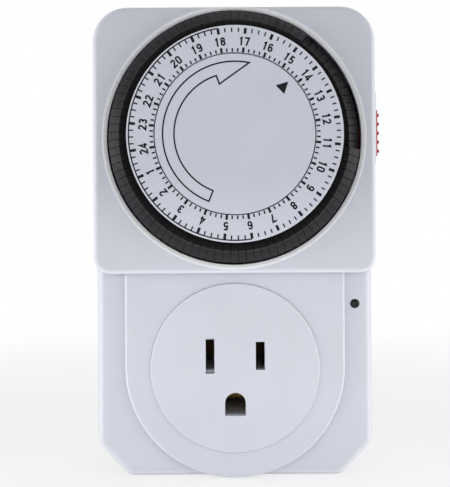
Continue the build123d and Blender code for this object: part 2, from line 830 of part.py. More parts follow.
def screw_at(place, under_head, tip):
    """A cross-recessed screw driven in from the back."""
    with BuildPart() as screw:
        with BuildSketch(at_depth(under_head - screw_head_height)):
            with Locations(place):
                Circle(screw_head_radius)
        extrude(amount=screw_head_height)
        with BuildSketch(at_depth(under_head)):
            with Locations(place):
                Circle(screw_radius)
        extrude(amount=tip - under_head)
        with BuildSketch(at_depth(under_head - screw_head_height)):
            with Locations(place):
                Rectangle(screw_cross, screw_slot)
                Rectangle(screw_slot, screw_cross)
        extrude(amount=screw_slot_depth, mode=Mode.SUBTRACT)
    return screw.part


with BuildPart() as hub_screw:
    add(screw_at((0, 0), frame_back, spindle_top - hub_screw_gap))
hub_screw.part.label = "hub_screw"
export_step(hub_screw.part, "parts/hub_screw.step")

with BuildPart() as housing_screws:
    for place in top_screws:
        add(screw_at(place, screw_pocket_depth, frame_front + top_screw_bite))
    for place in low_screws:
        add(screw_at(place, screw_pocket_depth, rear_depth + low_screw_bite))
housing_screws.part.label = "housing_screws"
export_step(housing_screws.part, "parts/housing_screws.step")

with BuildPart() as frame_screws:
    for place in frame_posts:
        add(screw_at(place, frame_back, frame_front + frame_screw_bite))
frame_screws.part.label = "frame_screws"
export_step(frame_screws.part, "parts/frame_screws.step")

# ------------------------------------------------------------------ switch
with BuildPart() as switch_case:
    with BuildSketch(at_depth(switch_back)):
        with Locations((lever_x, switch_height)):
            RectangleRounded(switch_size[0], switch_size[1], switch_edge_round)
    extrude(amount=switch_size[2])
    with BuildSketch(at_depth(frame_back - plunger_bore)):
        with Locations((lever_x, plunger_height)):
            Circle(plunger_radius + running_clearance)
    extrude(amount=plunger_bore, mode=Mode.SUBTRACT)
switch_case.part.label = "switch_case"
export_step(switch_case.part, "parts/switch_case.step")

with BuildPart() as switch_terminals:
    for height, reach in (
        (low_terminal, strap_front),
        (switch_height, strap_front + terminal_gap),
        (top_terminal, strap_front),
    ):
        with BuildSketch(at_depth(reach)):
            with Locations((lever_x, height)):
                Rectangle(*terminal_size)
        extrude(amount=switch_back - reach)
switch_terminals.part.label = "switch_terminals"
export_step(switch_terminals.part, "parts/switch_terminals.step")

with BuildPart() as switch_plunger:
    with BuildSketch(at_depth(frame_back - plunger_stroke)):
        with Locations((lever_x, plunger_height)):
            Circle(plunger_radius)
    extrude(amount=lever_back - lever_rest - (frame_back - plunger_stroke))
    fillet(switch_plunger.edges().group_by(Axis.Y)[0], plunger_round)
switch_plunger.part.label = "switch_plunger"
export_step(switch_plunger.part, "parts/switch_plunger.step")

# ------------------------------------------------------------------ follower lever
nose_front = pushed_foot_back - nose_gap
with BuildPart() as follower_lever:
    with BuildSketch(at_depth(lever_back)):
        with Locations((lever_x, (lever_pivot_height + nose_height) / 2)):
            Rectangle(lever_width, lever_length + nose_size[1])
        with Locations((lever_x + tab_width / 2 + lever_width / 4, tab_height)):
            Rectangle(tab_width + lever_width / 2, tab_length)
    extrude(amount=lever_thickness)
    with BuildSketch(Plane.YZ.offset(lever_x)):
        with Locations((-lever_pivot_depth, lever_pivot_height)):
            Circle(lever_barrel)
    extrude(amount=lever_width / 2, both=True)
    with BuildSketch(at_depth(lever_front)):
        with Locations(Location((lever_x, nose_height, 0), (0, 0, -index_angle))):
            Rectangle(*nose_size)
    extrude(amount=nose_front - lever_front)
    fillet(follower_lever.edges().group_by(Axis.Y)[0], lever_edge_round)
    with BuildSketch(Plane.YZ.offset(lever_x)):
        with Locations((-lever_pivot_depth, lever_pivot_height)):
            Circle(lever_pin_radius + running_clearance)
    extrude(amount=lever_width, both=True, mode=Mode.SUBTRACT)
follower_lever.part.label = "follower_lever"
export_step(follower_lever.part, "parts/follower_lever.step")

with BuildPart() as lever_pin:
    with BuildSketch(Plane.YZ.offset(lever_x)):
        with Locations((-lever_pivot_depth, lever_pivot_height)):
            Circle(lever_pin_radius)
    extrude(amount=ear_reach, both=True)
lever_pin.part.label = "lever_pin"
export_step(lever_pin.part, "parts/lever_pin.step")

# ------------------------------------------------------------------ motor
motor_back = frame_back - motor_height
plate_back = frame_back - gearbox_plate
gearbox_back = plate_back - gearbox_height
chamber_back = motor_back + motor_shell
chamber_front = gearbox_back - motor_shell
rotor_back = chamber_back + rotor_float
rotor_front = chamber_front - rotor_float
pinion_back = plate_back - pinion_shaft

with BuildPart() as motor_case:
    with BuildSketch(at_depth(motor_back)):
        with Locations(motor_place):
            Circle(motor_radius)
    extrude(amount=motor_height)
    fillet(motor_case.edges().group_by(Axis.Y)[-1], motor_edge_round)
    with BuildSketch(at_depth(chamber_back)):
        with Locations(motor_place):
            Circle(motor_radius - motor_shell)
    extrude(amount=chamber_front - chamber_back, mode=Mode.SUBTRACT)
    with BuildSketch(at_depth(gearbox_back)):
        with Locations(motor_place):
            Circle(motor_radius - motor_shell)
    extrude(amount=gearbox_height, mode=Mode.SUBTRACT)
    with BuildSketch(at_depth(motor_back)):
        with Locations(motor_place):
            Circle(rotor_shaft + running_clearance)
    extrude(amount=gearbox_back - motor_back, mode=Mode.SUBTRACT)
    with BuildSketch(at_depth(plate_back)):
        with Locations(pinion_place):
            Circle(axle_radius + running_clearance)
    extrude(amount=gearbox_plate, mode=Mode.SUBTRACT)
motor_case.part.label = "motor_case"
export_step(motor_case.part, "parts/motor_case.step")

with BuildPart() as motor_coil:
    with BuildSketch(at_depth(chamber_back)):
        with Locations(motor_place):
            Circle(motor_radius - motor_shell - coil_gap)
            Circle(rotor_radius + rotor_gap, mode=Mode.SUBTRACT)
    extrude(amount=chamber_front - chamber_back - coil_gap)
motor_coil.part.label = "motor_coil"
export_step(motor_coil.part, "parts/motor_coil.step")

with BuildPart() as motor_rotor:
    with BuildSketch(at_depth(rotor_back)):
        with Locations(motor_place):
            Circle(rotor_radius)
    extrude(amount=rotor_front - rotor_back)
    with BuildSketch(at_depth(motor_back + shaft_float)):
        with Locations(motor_place):
            Circle(rotor_shaft)
    extrude(amount=gearbox_back - motor_back - 2 * shaft_float)
motor_rotor.part.label = "motor_rotor"
export_step(motor_rotor.part, "parts/motor_rotor.step")

with BuildPart() as motor_pinion:
    with BuildSketch(gear_plane(pinion_place, pinion_back)):
        Circle(axle_radius)
    extrude(amount=idler_back - pinion_back)
    with BuildSketch(gear_plane(pinion_place, idler_back)):
        gear_outline(pinion_teeth, train_module, motor_phase, 4)
    extrude(amount=idler_wheel_front - idler_back)
motor_pinion.part.label = "motor_pinion"
export_step(motor_pinion.part, "parts/motor_pinion.step")

# ------------------------------------------------------------------ gears and their axles
with BuildPart() as idler_gear:
    with BuildSketch(gear_plane(idler_place, idler_back)):
        Circle(gear_collar_radius)
    extrude(amount=idler_wheel_back - idler_back)
    with BuildSketch(gear_plane(idler_place, idler_wheel_back)):
        gear_outline(wheel_teeth, train_module, idler_phase, 2)
    extrude(amount=wheel_width)
    with BuildSketch(gear_plane(idler_place, idler_wheel_front)):
        gear_outline(pinion_teeth, train_module, idler_phase, 4)
    extrude(amount=drive_wheel_front - idler_wheel_front)
    with BuildSketch(gear_plane(idler_place, idler_back)):
        Circle(axle_radius + running_clearance)
    extrude(amount=drive_wheel_front - idler_back, mode=Mode.SUBTRACT)
idler_gear.part.label = "idler_gear"
export_step(idler_gear.part, "parts/idler_gear.step")

with BuildPart() as drive_gear:
    with BuildSketch(gear_plane(drive_place, idler_back)):
        Circle(gear_collar_radius)
    extrude(amount=drive_wheel_back - idler_back)
    with BuildSketch(gear_plane(drive_place, drive_wheel_back)):
        gear_outline(wheel_teeth, train_module, drive_phase, 2)
    extrude(amount=wheel_width)
    with BuildSketch(gear_plane(drive_place, drive_wheel_front)):
        gear_outline(pinion_teeth, dial_module, drive_phase, 4)
    extrude(amount=drive_front - drive_wheel_front)
    with BuildSketch(gear_plane(drive_place, idler_back)):
        Circle(axle_radius + running_clearance)
    extrude(amount=drive_front - idler_back, mode=Mode.SUBTRACT)
drive_gear.part.label = "drive_gear"
export_step(drive_gear.part, "parts/drive_gear.step")

with BuildPart() as gear_axles:
    for place, front in ((idler_place, drive_wheel_front), (drive_place, axle_front)):
        with BuildSketch(gear_plane(place, frame_back)):
            Circle(axle_radius)
        extrude(amount=front - frame_back)
    with BuildSketch(gear_plane(drive_place, axle_front)):  # head that keeps the drive gear on
        Circle(axle_radius + axle_head)
    extrude(amount=axle_head)
gear_axles.part.label = "gear_axles"
export_step(gear_axles.part, "parts/gear_axles.step")

# ------------------------------------------------------------------ dial drum and scale
tappet_angles = {
    hour: [
        first_tick_angle + (first_hour - hour - (quarter + 0.5) / tappets_per_hour) * hour_step
        for quarter in range(tappets_per_hour)
    ]
    for hour in range(1, 25)
}
ring_back = flange_back + drum_floor

with BuildPart() as dial_drum:
    with BuildSketch(radial_plane(90)):
        with BuildLine():
            Polyline(
                (spindle_radius + running_clearance, flange_back),
                (drum_radius, flange_back),
                (drum_radius, flange_top),
                (scale_radius, flange_top),
                (scale_radius, drum_top),
                (scale_radius - drum_wall, drum_top),
                (scale_radius - drum_wall, ring_back),
                (disc_radius + inner_ring[1], ring_back),
                (disc_radius + inner_ring[1], drum_top),
                (disc_radius + inner_ring[0], drum_top),
                (disc_radius + inner_ring[0], ring_back),
                (hub_radius + hub_wall, ring_back),
                (hub_radius + hub_wall, spindle_top - thrust_gap),
                (spindle_radius + running_clearance, spindle_top - thrust_gap),
                close=True,
            )
        make_face()
    revolve(axis=Axis.Y)
    with BuildSketch(at_depth(dial_gear_back)):
        gear_outline(dial_teeth, dial_module, dial_phase, 1)
        Circle(stem_outer + drum_edge, mode=Mode.SUBTRACT)
    extrude(amount=dial_gear_width)
    with BuildSketch(at_depth(flange_back)):
        with PolarLocations(stem_radius, tappet_count, start_angle=90 - tappet_angles[1][0]):
            Rectangle(stem_length + 2 * tappet_clearance, tappet_thickness + 2 * tappet_clearance)
    extrude(amount=flange_top - flange_back, mode=Mode.SUBTRACT)
dial_drum.part.label = "dial_drum"
export_step(dial_drum.part, "parts/dial_drum.step")

with BuildPart() as dial_scale:
    with BuildSketch(at_depth(drum_top)):
        Circle(scale_radius)
        Circle(disc_radius + disc_gap, mode=Mode.SUBTRACT)
    extrude(amount=scale_thickness)
    outer_edge = dial_scale.edges().group_by(Axis.Y)[0].sort_by(SortBy.RADIUS)[-1]
    fillet(outer_edge, scale_edge_round)
dial_scale.part.label = "dial_scale"
export_step(dial_scale.part, "parts/dial_scale.step")

# ------------------------------------------------------------------ tappets
with BuildPart() as raised_tappet:
    with BuildSketch(radial_plane(-tappet_head_arc / 2)):
        with BuildLine():
            Polyline(
                (tappet_inner, head_under),
                (tappet_inner, crest_depth - inner_slope),
                (crest_radius, crest_depth),
                (tappet_outer, head_under + outer_rim),
                (tappet_outer, head_under),
                close=True,
            )
        make_face()
    revolve(axis=Axis.Y, revolution_arc=tappet_head_arc)
    with BuildSketch(radial_plane(0)):
        with BuildLine():
            Polyline(
                (stem_inner - hook_length, foot_back),
                (stem_outer, foot_back),
                (stem_outer, head_under),
                (stem_inner, head_under),
                (stem_inner, foot_top),
                (stem_inner - hook_length, foot_top),
                close=True,
            )
        make_face()
    extrude(amount=tappet_thickness / 2, both=True)

for hour, angles in tappet_angles.items():
    lowered = tappet_travel if hour in hours_on else 0
    with BuildPart() as hour_tappets:
        for angle in angles:
            add(raised_tappet.part.rotate(Axis.Y, angle).translate((0, lowered, 0)))
    hour_tappets.part.label = f"tappets_hour_{hour:02d}"
    export_step(hour_tappets.part, f"parts/tappets_hour_{hour:02d}.step")

# ------------------------------------------------------------------ override slide
flange_x = half_width - wall - slide_flange_gap
finger_back = lever_front + slide_flange_gap
finger_place = tab_height - (tab_length + finger_height) / 2 - finger_gap
finger_inner = lever_x + lever_width / 2 + finger_start
rib_x = half_width + slide_proud - rib_radius

with BuildPart() as override_slide:
    with BuildSketch(Plane.YZ.offset(flange_x - slide_flange)):
        with Locations((-slide_depth, slide_middle + slide_flange_rise)):
            Rectangle(
                slide_width + 2 * slide_flange_margin[0],
                slide_length + 2 * (slide_travel + slide_flange_margin[1]),
            )
    extrude(amount=slide_flange)
    with BuildSketch(Plane.YZ.offset(flange_x)):
        with Locations((-slide_depth, slide_middle)):
            Rectangle(slide_width, slide_length)
    extrude(amount=rib_x - flange_x)
    fillet(override_slide.edges().group_by(Axis.X)[-1], slide_edge_round)
    for rib in range(rib_count):
        height = slide_middle + (rib - (rib_count - 1) / 2) * rib_pitch
        with BuildSketch(at_depth(slide_back + rib_inset)):
            with Locations((rib_x, height)):
                Circle(rib_radius)
        extrude(amount=slide_width - 2 * rib_inset)
    with BuildSketch(at_depth(finger_back)):  # finger that holds the lever down in the ON position
        with Locations(((finger_inner + flange_x) / 2, finger_place)):
            Rectangle(flange_x - finger_inner, finger_height)
    extrude(amount=finger_thickness)
override_slide.part.label = "override_slide"
export_step(override_slide.part, "parts/override_slide.step")

# ------------------------------------------------------------------ indicator
lens_back = body_depth - wall - lens_flange_height

with BuildPart() as indicator_lens:
    with BuildSketch(at_depth(lens_back)):
        with Locations((lamp_x, lamp_height)):
            Circle(lamp_radius + lens_flange)
    extrude(amount=lens_flange_height)
    with BuildSketch(at_depth(body_depth - wall)):
        with Locations((lamp_x, lamp_height)):
            Circle(lamp_radius - lens_gap)
    extrude(amount=wall + lens_proud)
    fillet(indicator_lens.edges().group_by(Axis.Y)[0], lens_round)
indicator_lens.part.label = "indicator_lens"
export_step(indicator_lens.part, "parts/indicator_lens.step")

with BuildPart() as indicator_lamp:
    with BuildSketch(at_depth(lens_back - lamp_length)):
        with Locations((lamp_x, lamp_height)):
            Circle(lamp_bore - lamp_gap)
    extrude(amount=lamp_length)
    fillet(indicator_lamp.edges().group_by(Axis.Y)[-1], lamp_round)
indicator_lamp.part.label = "indicator_lamp"
export_step(indicator_lamp.part, "parts/indicator_lamp.step")
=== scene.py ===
import json
import math

import bmesh
import bpy
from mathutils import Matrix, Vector


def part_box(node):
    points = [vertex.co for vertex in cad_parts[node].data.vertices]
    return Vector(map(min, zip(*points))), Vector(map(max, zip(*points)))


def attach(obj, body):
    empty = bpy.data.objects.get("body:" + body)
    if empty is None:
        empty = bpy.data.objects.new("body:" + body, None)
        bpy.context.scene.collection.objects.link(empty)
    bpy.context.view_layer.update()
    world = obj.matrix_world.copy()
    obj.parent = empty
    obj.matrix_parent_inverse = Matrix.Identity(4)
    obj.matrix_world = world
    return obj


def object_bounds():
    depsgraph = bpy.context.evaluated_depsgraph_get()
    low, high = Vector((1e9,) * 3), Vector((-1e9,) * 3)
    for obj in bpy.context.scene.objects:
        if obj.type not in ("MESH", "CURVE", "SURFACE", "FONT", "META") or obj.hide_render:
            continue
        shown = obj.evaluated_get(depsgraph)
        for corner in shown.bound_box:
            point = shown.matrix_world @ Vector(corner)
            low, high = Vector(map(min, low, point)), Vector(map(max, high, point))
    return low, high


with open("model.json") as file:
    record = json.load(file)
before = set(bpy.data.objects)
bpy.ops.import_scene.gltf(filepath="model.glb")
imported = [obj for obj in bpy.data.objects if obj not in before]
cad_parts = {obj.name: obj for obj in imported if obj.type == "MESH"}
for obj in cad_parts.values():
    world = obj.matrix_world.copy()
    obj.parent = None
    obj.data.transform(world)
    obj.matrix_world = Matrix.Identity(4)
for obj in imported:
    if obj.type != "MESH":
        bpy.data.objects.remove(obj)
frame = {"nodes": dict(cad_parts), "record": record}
cad_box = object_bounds()

MM = 0.001
scene = bpy.context.scene


# ------------------------------------------------------------------ node and material helpers
def add(tree, kind, *sources, **settings):
    """A node with its first sockets linked from the sources, in order."""
    made = tree.nodes.new(kind)
    for key, value in settings.items():
        setattr(made, key, value)
    for socket, source in zip(made.inputs, sources):
        tree.links.new(source, socket)
    return made


def spread(node, start, stop, low, high):
    """Sets a Map Range node's ends, and gives its result."""
    for key, number in (
        ("From Min", start),
        ("From Max", stop),
        ("To Min", low),
        ("To Max", high),
    ):
        node.inputs[key].default_value = number
    return node.outputs["Result"]


NOISE_ROUGHNESS = 0.55


class Shader:
    """A Principled material whose surface detail comes from noise in object space."""

    def __init__(self, name):
        self.material = bpy.data.materials.new(name)
        self.material.use_nodes = True
        self.tree = self.material.node_tree
        self.bsdf = self.tree.nodes["Principled BSDF"]
        self.coordinates = self.node("ShaderNodeTexCoord").outputs["Object"]
        self.normal = None

    def node(self, kind, *sources, **settings):
        return add(self.tree, kind, *sources, **settings)

    def link(self, output, socket):
        self.tree.links.new(output, socket)

    def set(self, **values):
        for key, value in values.items():
            self.bsdf.inputs[key.replace("_", " ")].default_value = value

    def noise(self, size, detail=3.0, stretch=(1, 1, 1), seed=0.0):
        """Noise with features of about a size in metres."""
        mapping = self.node("ShaderNodeMapping", self.coordinates)
        mapping.inputs["Location"].default_value = (seed, seed * 0.7, seed * 1.3)
        mapping.inputs["Scale"].default_value = stretch
        noise = self.node("ShaderNodeTexNoise", mapping.outputs["Vector"])
        noise.inputs["Scale"].default_value = 1 / size
        noise.inputs["Detail"].default_value = detail
        noise.inputs["Roughness"].default_value = NOISE_ROUGHNESS
        return noise.outputs["Fac"]

    def remap(self, value, low, high, start=0.3, stop=0.7):
        """A value's range, from start to stop, spread between two numbers."""
        return spread(self.node("ShaderNodeMapRange", value), start, stop, low, high)

    def mix(self, factor, first, second):
        """A blend of two, each a colour or an output."""
        mix = self.node("ShaderNodeMix", factor, data_type="RGBA")
        for socket, value in ((mix.inputs[6], first), (mix.inputs[7], second)):
            if isinstance(value, tuple):
                socket.default_value = (*value, 1)
            else:
                self.link(value, socket)
        return mix.outputs[2]

    def colour(self, value):
        self.link(value, self.bsdf.inputs["Base Color"])

    def roughness(self, value):
        self.link(value, self.bsdf.inputs["Roughness"])

    def bump(self, height, distance):
        """Relief of a depth in metres, laid over any set before."""
        bump = self.node("ShaderNodeBump")
        bump.inputs["Distance"].default_value = distance
        self.link(height, bump.inputs["Height"])
        if self.normal:
            self.link(self.normal, bump.inputs["Normal"])
        self.normal = bump.outputs["Normal"]
        self.link(self.normal, self.bsdf.inputs["Normal"])

    def round_edges(self, radius):
        """Edges shaded as if rounded. It comes before any bump."""
        bevel = self.node("ShaderNodeBevel", samples=4)
        bevel.inputs["Radius"].default_value = radius
        self.normal = bevel.outputs["Normal"]
        self.link(self.normal, self.bsdf.inputs["Normal"])


def linear(*srgb):
    """A linear colour from 8-bit sRGB numbers."""
    return tuple(
        value / 255 / 12.92 if value <= 10 else ((value / 255 + 0.055) / 1.055) ** 2.4
        for value in srgb
    )


def shade(colour, factor):
    return tuple(channel * factor for channel in colour)


# Sizes and depths of surface detail, in metres
FLOW, FLOW_DEPTH = 0.018, 0.00002
HANDLING = 0.0045
DRAWN, DRAWN_DEPTH = 0.0006, 0.000008
STAIN = 0.004
INK_FADE = 0.0007
INK_GRAIN, INK_DEPTH = 0.00015, 0.000003
EDGE = 0.00012


def moulded(
    name, colour, rough, grain=0.00022, grain_depth=0.000006, tone=0.03, specular=0.5, edge=EDGE
):
    """Injection-moulded plastic: a fine spark texture, faint flow tone and handling marks."""
    made = Shader(name)
    made.set(Specular_IOR_Level=specular, IOR=1.5)
    made.round_edges(edge)
    flow = made.noise(FLOW, detail=4, seed=1.0)
    handling = made.noise(HANDLING, detail=5, seed=3.0)
    cloud = made.mix(made.remap(flow, 0, 1), shade(colour, 1 - tone), shade(colour, 1 + tone * 0.6))
    scuff = made.remap(handling, 0, 0.35, 0.62, 0.8)
    made.colour(made.mix(scuff, cloud, shade(colour, 1 - tone * 2)))
    made.roughness(made.remap(handling, rough - 0.06, rough + 0.07))
    made.bump(made.noise(grain, detail=2, seed=5.0), grain_depth)
    made.bump(flow, FLOW_DEPTH)
    return made


def from_axis(made):
    """Distance from the dial's axis, which is the Y axis."""
    flat = made.node("ShaderNodeVectorMath", made.coordinates, operation="MULTIPLY")
    flat.inputs[1].default_value = (1, 0, 1)
    return made.node("ShaderNodeVectorMath", flat.outputs[0], operation="LENGTH").outputs["Value"]


def tint(made, factor, colour):
    """A colour laid over what the material has so far."""
    made.colour(made.mix(factor, made.bsdf.inputs["Base Color"].links[0].from_socket, colour))


def frontness(made):
    """How far a face looks to the front or back, from 0 on a side to 1."""
    facing = made.node("ShaderNodeTexCoord").outputs["Normal"]
    parts = made.node("ShaderNodeSeparateXYZ", facing)
    return made.node("ShaderNodeMath", parts.outputs["Y"], operation="ABSOLUTE").outputs[0]


def product(made, first, second):
    """Two factors multiplied."""
    return made.node("ShaderNodeMath", first, second, operation="MULTIPLY").outputs[0]


# Frontness at which the painted highlight begins, is full, begins to fade and ends
FILLET_HIGHLIGHT_SPAN = (0.15, 0.45, 0.8, 0.985)


def wear_edges(made, colour):
    """Lighter plastic painted on the fillets and bevels between front and sides: a painted
    highlight.
    """
    front = frontness(made)
    rising = made.remap(front, 0, 1, *FILLET_HIGHLIGHT_SPAN[:2])
    falling = made.remap(front, 1, 0, *FILLET_HIGHLIGHT_SPAN[2:])
    tint(made, product(made, rising, falling), colour)


def metal(name, colour, rough, stretch=(1, 1, 1), tarnish=0.75):
    """Metal with drawn marks, which stretch makes longer, and darker stains."""
    made = Shader(name)
    made.set(Metallic=1.0)
    made.round_edges(EDGE)
    drawn = made.noise(DRAWN, detail=4, stretch=stretch, seed=2.0)
    stain = made.noise(STAIN, detail=5, seed=4.0)
    made.colour(made.mix(made.remap(stain, 0, 1, 0.42, 0.75), colour, shade(colour, tarnish)))
    made.roughness(made.remap(drawn, rough - 0.07, rough + 0.1))
    made.bump(drawn, DRAWN_DEPTH)
    return made


def printed_ink(name, colour, rough):
    """Matt ink, faded a little in places."""
    made = Shader(name)
    made.set(Specular_IOR_Level=0.25)
    fade = made.noise(INK_FADE, detail=4, seed=6.0)
    made.colour(made.mix(made.remap(fade, 0, 1), colour, shade(colour, 1.25)))
    made.roughness(made.remap(fade, rough - 0.08, rough + 0.08))
    made.bump(made.noise(INK_GRAIN, detail=2, seed=7.0), INK_DEPTH)
    return made


# ------------------------------------------------------------------ materials
housing_grey = linear(206, 208, 217)
# The colour of a painted highlight on the fillets, not of the plastic itself
fillet_highlight_grey = linear(232, 234, 241)
dial_grey = linear(205, 208, 219)
ring_black = linear(18, 18, 20)

# By the record's material slots, and three of their own: front_housing, socket and contact
materials = {
    "housing_plastic": moulded("housing_plastic", housing_grey, 0.5),
    "front_housing": moulded("front_housing_plastic", housing_grey, 0.5),
    "dial_plastic": moulded(
        "dial_plastic", dial_grey, 0.46, grain=0.00016, grain_depth=0.000003, tone=0.02
    ),
    "socket": moulded("socket_plastic", linear(208, 210, 219), 0.48, tone=0.025),
    "tappet_plastic": moulded(
        "tappet_plastic",
        ring_black,
        0.38,
        grain_depth=0.000003,
        tone=0.18,
        specular=0.27,
        edge=0.0002,
    ),
    "drum_plastic": moulded("drum_plastic", linear(33, 32, 34), 0.45, tone=0.15, specular=0.3),
    "slide_plastic": moulded("slide_plastic", linear(178, 22, 26), 0.4, tone=0.06),
    "frame_plastic": moulded("frame_plastic", linear(188, 190, 196), 0.5),
    "switch_plastic": moulded("switch_plastic", linear(40, 42, 46), 0.42, tone=0.1),
    "gear_plastic": moulded("gear_plastic", linear(226, 224, 214), 0.35),
    "steel": metal("zinc_steel", linear(186, 188, 192), 0.34, stretch=(1, 0.15, 1)),
    "brass": metal("brass", linear(214, 178, 104), 0.28, stretch=(1, 0.12, 1)),
    # A bronze for the hot and neutral contacts, made darker than the metal is as painted shade in
    # their slots
    "contact": metal(
        "bronze_darkened_as_shade", linear(104, 84, 58), 0.42, stretch=(1, 0.12, 1), tarnish=0.6
    ),
    "motor_steel": metal("motor_steel", linear(170, 172, 176), 0.38),
    "magnet": moulded("magnet_ferrite", linear(58, 56, 58), 0.6, tone=0.12),
    "coil_wrap": moulded("coil_wrap", linear(196, 164, 66), 0.4, tone=0.1),
}

# The fillets and bevels of the housing and socket get a painted highlight
for key in ("front_housing", "housing_plastic", "socket"):
    wear_edges(materials[key], fillet_highlight_grey)

# The front cover's bevel around the dial is painted lighter, just outside the drum: a painted
# highlight
drum_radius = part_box("dial_drum")[1].x
housing = materials["front_housing"]
rim_stop = drum_radius + 1.75 * MM
rim_fade = 0.5 * MM
rim_highlight_band = housing.remap(from_axis(housing), 1, 0, rim_stop - rim_fade, rim_stop)
rim_highlight_band = product(housing, rim_highlight_band, housing.remap(frontness(housing), 0, 1, 0.2, 0.5))
# Painted highlight on the bevel around the dial
tint(housing, rim_highlight_band, linear(250, 251, 253))

# The tappets are painted lighter toward their outer side as a painted sheen, and lightest
# along the crest of their inner edge as a painted highlight. Inside the crest, painted shade
# makes them darker again.
tappet = materials["tappet_plastic"]
reach = from_axis(tappet)
sheen_start = drum_radius - 2.6 * MM
crest = drum_radius - 3.0 * MM
tint(tappet, tappet.remap(reach, 0, 1, sheen_start, drum_radius), linear(42, 41, 44))
tint(tappet, tappet.remap(reach, 1, 0, crest + 0.1 * MM, crest + 0.35 * MM), linear(64, 62, 64))
tint(tappet, tappet.remap(reach, 1, 0, crest - 0.25 * MM, crest), linear(37, 36, 38))

# The indicator's lens is smoked, and a little lighter at its middle, over the lamp
lens_low, lens_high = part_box("indicator_lens")
lens_front = (lens_low + lens_high) / 2
lens_front.y = lens_low.y
lens = Shader("smoked_lens")
lens.set(IOR=1.49, Specular_IOR_Level=0.32)
off_middle = lens.node("ShaderNodeVectorMath", lens.coordinates, operation="DISTANCE")
off_middle.inputs[1].default_value = lens_front
smoke = lens.mix(lens.remap(lens.noise(0.0008), 0, 1), linear(9, 8, 8), linear(17, 14, 13))
glimpse = lens.remap(off_middle.outputs["Value"], 1, 0, 0.3 * MM, 0.7 * MM)
lens.colour(lens.mix(glimpse, smoke, linear(26, 22, 21)))
lens.roughness(lens.remap(lens.noise(0.0005, seed=2.0), 0.2, 0.32))
materials["lens"] = materials["lamp_glass"] = lens

ink = printed_ink("printing_ink", linear(18, 18, 26), 0.6)
rim_paint = moulded("scale_rim", linear(216, 218, 224), 0.4, tone=0.02)

node_slots = {part["node"]: part["material_slot"] for part in frame["record"]["subparts"]}
own_finish = {
    "front_cover": "front_housing",
    "socket_insert": "socket",
    # These two contacts take the darkened bronze, painted shade for their slots
    "hot_contact": "contact",
    "neutral_contact": "contact",
}
for name, node in frame["nodes"].items():
    finish = materials[own_finish.get(name, node_slots[name])]
    node.data.materials.clear()
    node.data.materials.append(finish.material)
    for face in node.data.polygons:
        face.material_index = 0

# ------------------------------------------------------------------ print on the dial
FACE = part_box("dial_scale")[0].y  # the dial's front face
PRINT_BACK = FACE + 0.01 * MM
PRINT_FRONT = FACE - 0.012 * MM

# Degrees clockwise from the top. The hours run anticlockwise.
HOUR_STEP = 15
FIRST_HOUR = 17
FIRST_ANGLE = 6.0
QUARTER_STEP = HOUR_STEP / 4


def clock(radius, angle):
    """X and Z of a point at a radius in mm and a clock angle."""
    turn = math.radians(angle)
    return radius * MM * math.sin(turn), radius * MM * math.cos(turn)


def arc(radius, start, stop, step=1.5):
    count = max(2, math.ceil(abs(stop - start) / step))
    return [clock(radius, start + (stop - start) * i / count) for i in range(count + 1)]


def hour_angle(hour):
    return FIRST_ANGLE + (FIRST_HOUR - hour) * HOUR_STEP


# Digits as centre lines in a box one unit high, with the origin at the middle of the foot
DIGIT_HEIGHT = 2.08  # mm
DIGIT_WEIGHT = 0.2  # stroke width, as a share of the height
DIGIT_PITCH = 0.7  # from one digit to the next, as a share of the height
SIDE = 0.195  # half the width of a round digit's centre line
FOOT, HEAD = DIGIT_WEIGHT / 2, 1 - DIGIT_WEIGHT / 2
LAYER = 0.002 * MM  # between strokes that cross
SHARPEST = 0.35  # cosine at which a mitred corner stops growing
WELD = 1e-7  # metres within which points of the print are one


def bend(centre, across, up, start, stop, step=20):
    """Points of an elliptical arc, from one angle to another in degrees from the right."""
    count = max(2, math.ceil(abs(stop - start) / step))
    turns = [math.radians(start + (stop - start) * i / count) for i in range(count + 1)]
    return [(across * math.cos(turn), centre + up * math.sin(turn)) for turn in turns]


def ring(centre, across, up):
    """Points of a closed ellipse."""
    return bend(centre, across, up, 0, 342, 18)


BOWL = (0.56 - FOOT) / 2  # half the height of a six's bowl
WAIST = 0.53  # where the two bowls of a three or an eight meet
# Middle, half width and half height of those bowls
LOW_BOWL = ((FOOT + WAIST) / 2, SIDE, (WAIST - FOOT) / 2)
HIGH_BOWL = ((HEAD + WAIST) / 2, SIDE, (HEAD - WAIST) / 2)
SIX = [
    (ring(FOOT + BOWL, SIDE, BOWL), True),
    ([(-SIDE, FOOT + BOWL), *bend(HEAD - SIDE, SIDE, SIDE, 180, 25)], False),
]
# Each digit is a list of strokes, each its points and whether it closes on itself
DIGITS = {
    "0": [
        (
            [
                *bend(HEAD - SIDE, SIDE, SIDE, 0, 180),
                *bend(FOOT + SIDE, SIDE, SIDE, 180, 360),
            ],
            True,
        )
    ],
    "1": [([(-0.16, 0.76), (0.04, 0.9), (0.04, 0)], False)],
    "2": [
        ([*bend(HEAD - SIDE, SIDE, SIDE, 175, -25), (-SIDE, FOOT), (SIDE + FOOT, FOOT)], False)
    ],
    "3": [([*bend(*HIGH_BOWL, 160, -80), *bend(*LOW_BOWL, 80, -160)], False)],
    "4": [([(0.09, 0), (0.09, 0.9), (-0.22, 0.27), (0.27, 0.27)], False)],
    "5": [
        (
            [
                (SIDE, HEAD),
                (-0.15, HEAD),
                (-0.17, 0.5),
                *bend(FOOT + BOWL, SIDE, BOWL, 125, -155),
            ],
            False,
        )
    ],
    "6": SIX,
    "7": [([(-SIDE - FOOT, HEAD), (SIDE, HEAD), (-0.06, 0)], False)],
    "8": [(ring(HIGH_BOWL[0], 0.9 * SIDE, HIGH_BOWL[2]), True), (ring(*LOW_BOWL), True)],
    "9": [([(-across, 1 - up) for across, up in path], closed) for path, closed in SIX],
}


